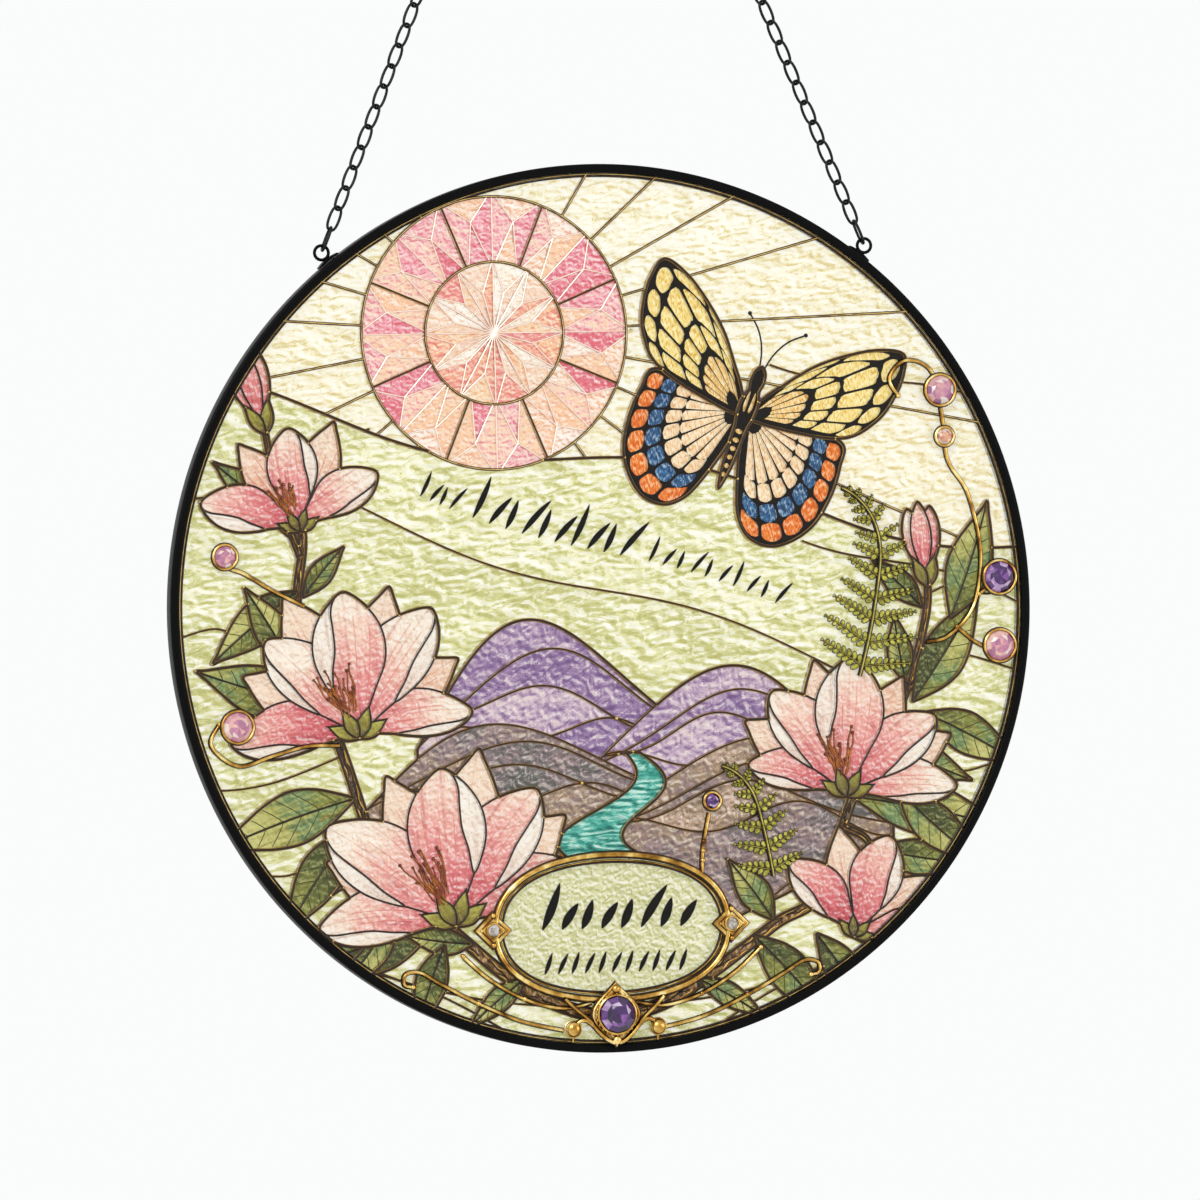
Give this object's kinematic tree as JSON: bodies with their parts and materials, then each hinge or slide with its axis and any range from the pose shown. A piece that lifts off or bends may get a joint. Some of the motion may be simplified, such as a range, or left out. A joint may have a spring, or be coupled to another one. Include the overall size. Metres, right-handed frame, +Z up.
{
  "type": "hanging stained glass panel",
  "caption": "Round leaded stained glass panel in a black metal rim, with jewelled brass trim, hung by two fine chains from one ring.",
  "frame": {"origin": "the inside of the hanging ring's top, where a hook bears, in the middle plane of the panel", "axes": "+Z up, -Y out of the decorated front, +X to the right as seen from the front"},
  "size_m": [0.3, 0.0142, 0.5102],
  "materials": {
    "black_metal": "satin",
    "lead_line": "satin, raised, dark with worn gilt crests",
    "brass": "polished, darkened in the hollows",
    "glass_cream": "hammered, translucent",
    "glass_green": "hammered, translucent",
    "glass_sun_ring": "tiles of pink and peach, translucent",
    "glass_sun": "peach petals, translucent",
    "glass_blossom": "pink fading to cream, translucent",
    "glass_leaf": "streaked, translucent",
    "glass_lilac": "streaked, translucent",
    "glass_mauve": "streaked, translucent",
    "glass_stream": "streaked, translucent",
    "glass_wing": "pale cells under black enamel lines",
    "glass_black": "near opaque, gloss",
    "glass_plaque": "hammered, translucent",
    "frond_enamel": "satin",
    "jewel_purple": "faceted",
    "jewel_pink": "faceted",
    "jewel_peach": "faceted",
    "jewel_clear": "faceted"
  },
  "bodies": {
    "root": {"rim": "black_metal", "lug_left": "black_metal", "lug_right": "black_metal", "chain_left": "black_metal", "chain_right": "black_metal", "hanging_ring": "black_metal", "leading": "lead_line", "frond": "frond_enamel", "plaque_frame": "brass", "plaque_glass": "glass_plaque", "ornament": "brass", "ornament_stone": "jewel_purple", "side_stone_left": "jewel_clear", "side_stone_right": "jewel_clear", "sky_glass": "glass_cream", "sky_glass_2": "glass_cream", "roundel_ring_glass": "glass_sun_ring", "roundel_centre_glass": "glass_sun", "hill_far_left": "glass_lilac", "hill_far_right": "glass_lilac", "hill_near_left": "glass_mauve", "hill_near_right": "glass_mauve", "stream_glass": "glass_stream", "bud_1": "glass_blossom", "bud_2": "glass_blossom", "wing_lower_left": "glass_wing", "wing_lower_right": "glass_wing", "wing_upper_left": "glass_wing", "wing_upper_right": "glass_wing", "butterfly_body": "glass_black", "set_stone_1": "jewel_pink", "set_stone_2": "jewel_peach", "set_stone_3": "jewel_purple", "set_stone_4": "jewel_pink", "set_stone_5": "jewel_purple", "set_stone_6": "jewel_pink", "set_stone_7": "jewel_pink", "field_glass": "glass_green", "field_glass_2": "glass_green", "field_glass_3": "glass_green", "field_glass_4": "glass_green", "field_glass_5": "glass_green", "leaf_1": "glass_leaf", "leaf_2": "glass_leaf", "leaf_3": "glass_leaf", "leaf_4": "glass_leaf", "leaf_5": "glass_leaf", "leaf_6": "glass_leaf", "leaf_7": "glass_leaf", "leaf_8": "glass_leaf", "blossom_1": "glass_blossom", "blossom_2": "glass_blossom", "blossom_3": "glass_blossom", "blossom_4": "glass_blossom", "blossom_5": "glass_blossom"}
  },
  "joints": []
}
